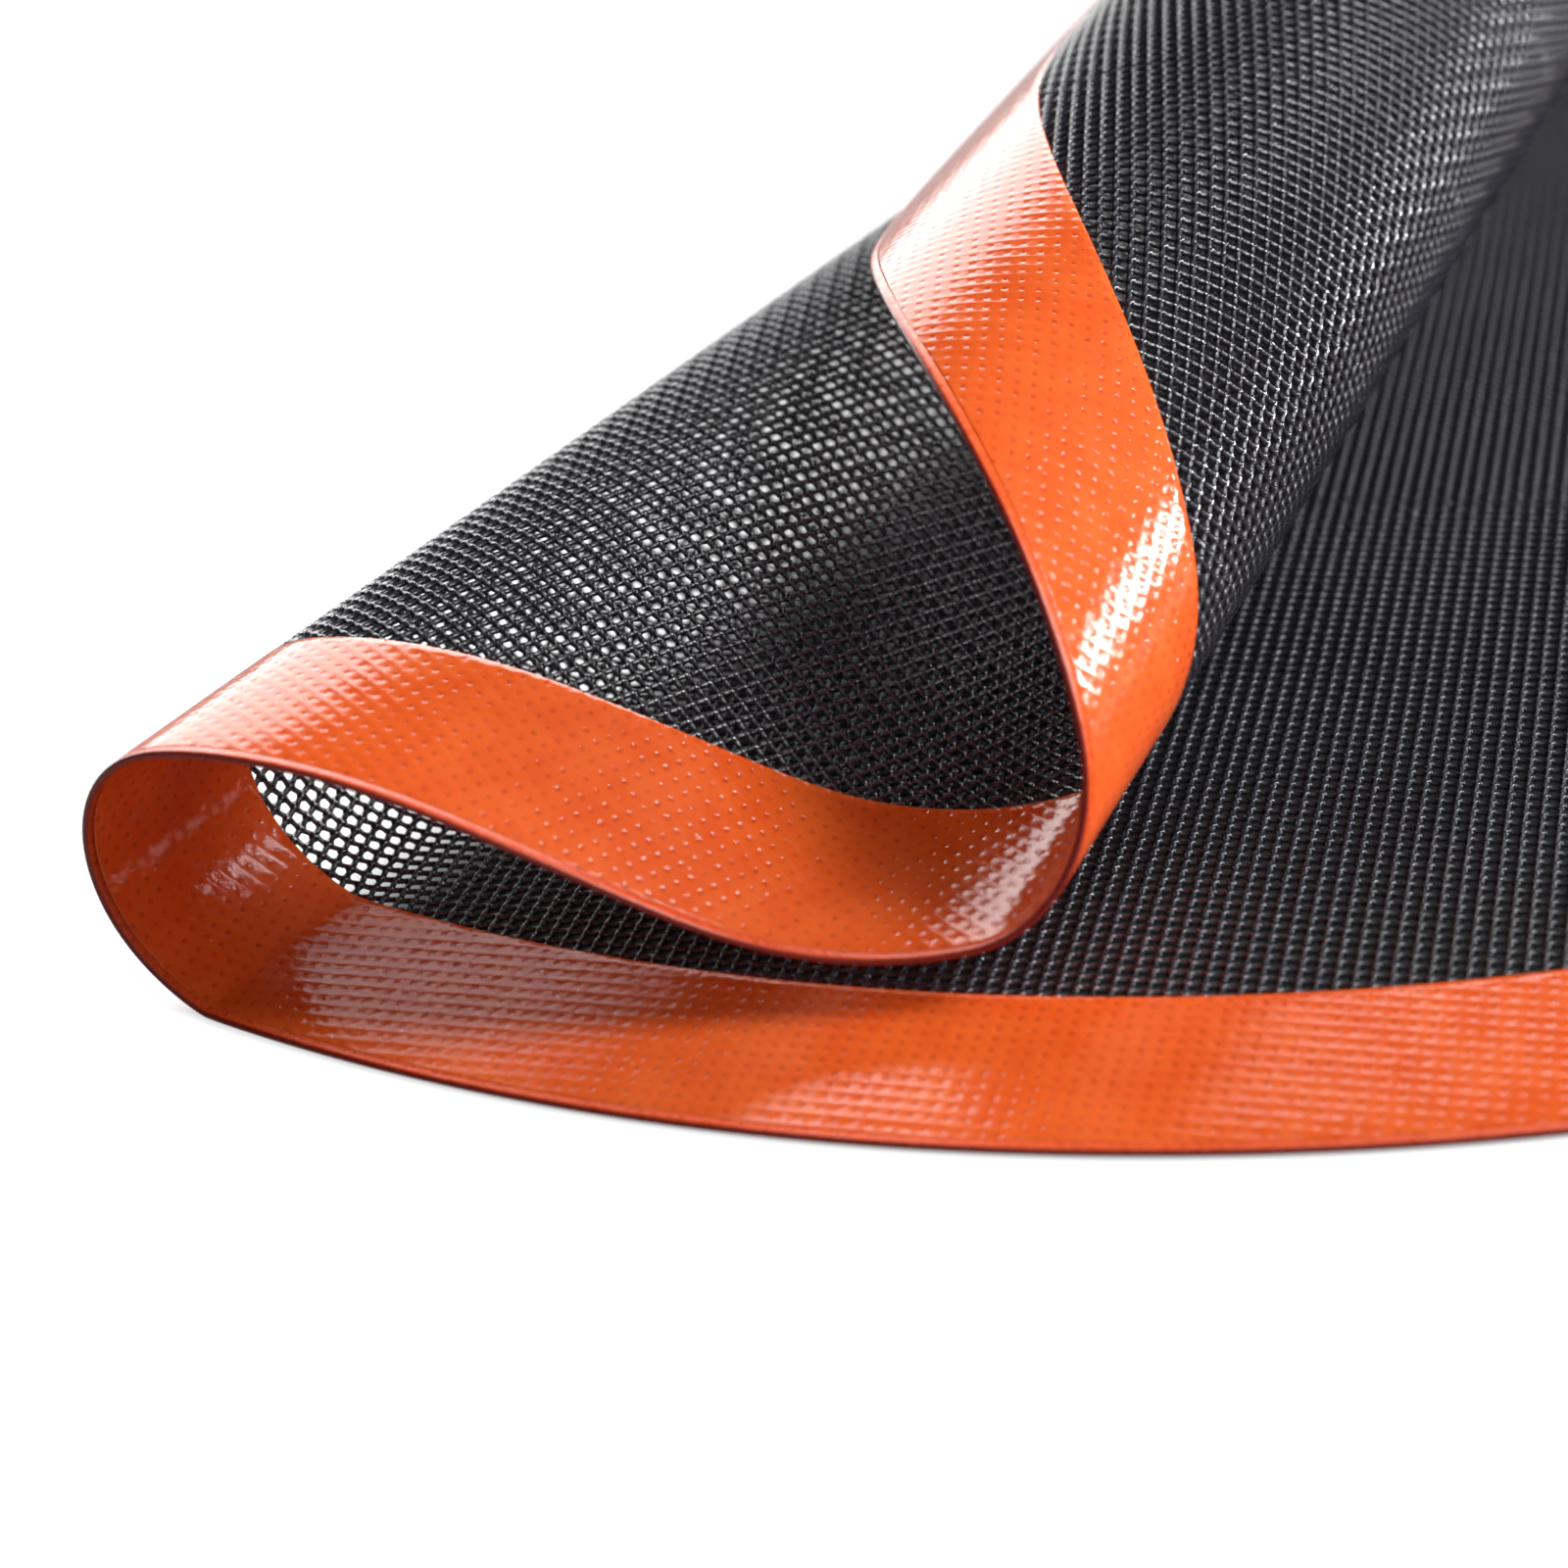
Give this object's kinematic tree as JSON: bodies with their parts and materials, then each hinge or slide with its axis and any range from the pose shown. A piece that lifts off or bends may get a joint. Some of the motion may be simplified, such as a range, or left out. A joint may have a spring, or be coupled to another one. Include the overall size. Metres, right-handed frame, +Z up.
{
  "type": "silicone baking mat",
  "caption": "Round non-stick silicone baking mat of coated open-weave glass cloth with an orange border, half laid flat and half folded back over itself.",
  "frame": {"origin": "on the table, under the middle of the flat part of the mat", "axes": "+Y along the folds away from the viewer, +X towards the outer edge of the flat part, +Z up"},
  "size_m": [0.1705, 0.3049, 0.0631],
  "materials": {
    "glass_cloth": "open weave of glass yarn soaked with dark silicone",
    "dark_silicone": "glossy",
    "orange_silicone": "glossy",
    "edge_silicone": "satin"
  },
  "bodies": {
    "root": {"glass_cloth_core": "glass_cloth", "silicone_coat_upper": "dark_silicone", "silicone_coat_lower": "dark_silicone", "border_film_upper": "orange_silicone", "border_film_lower": "orange_silicone", "border_rim": "edge_silicone"}
  },
  "joints": []
}
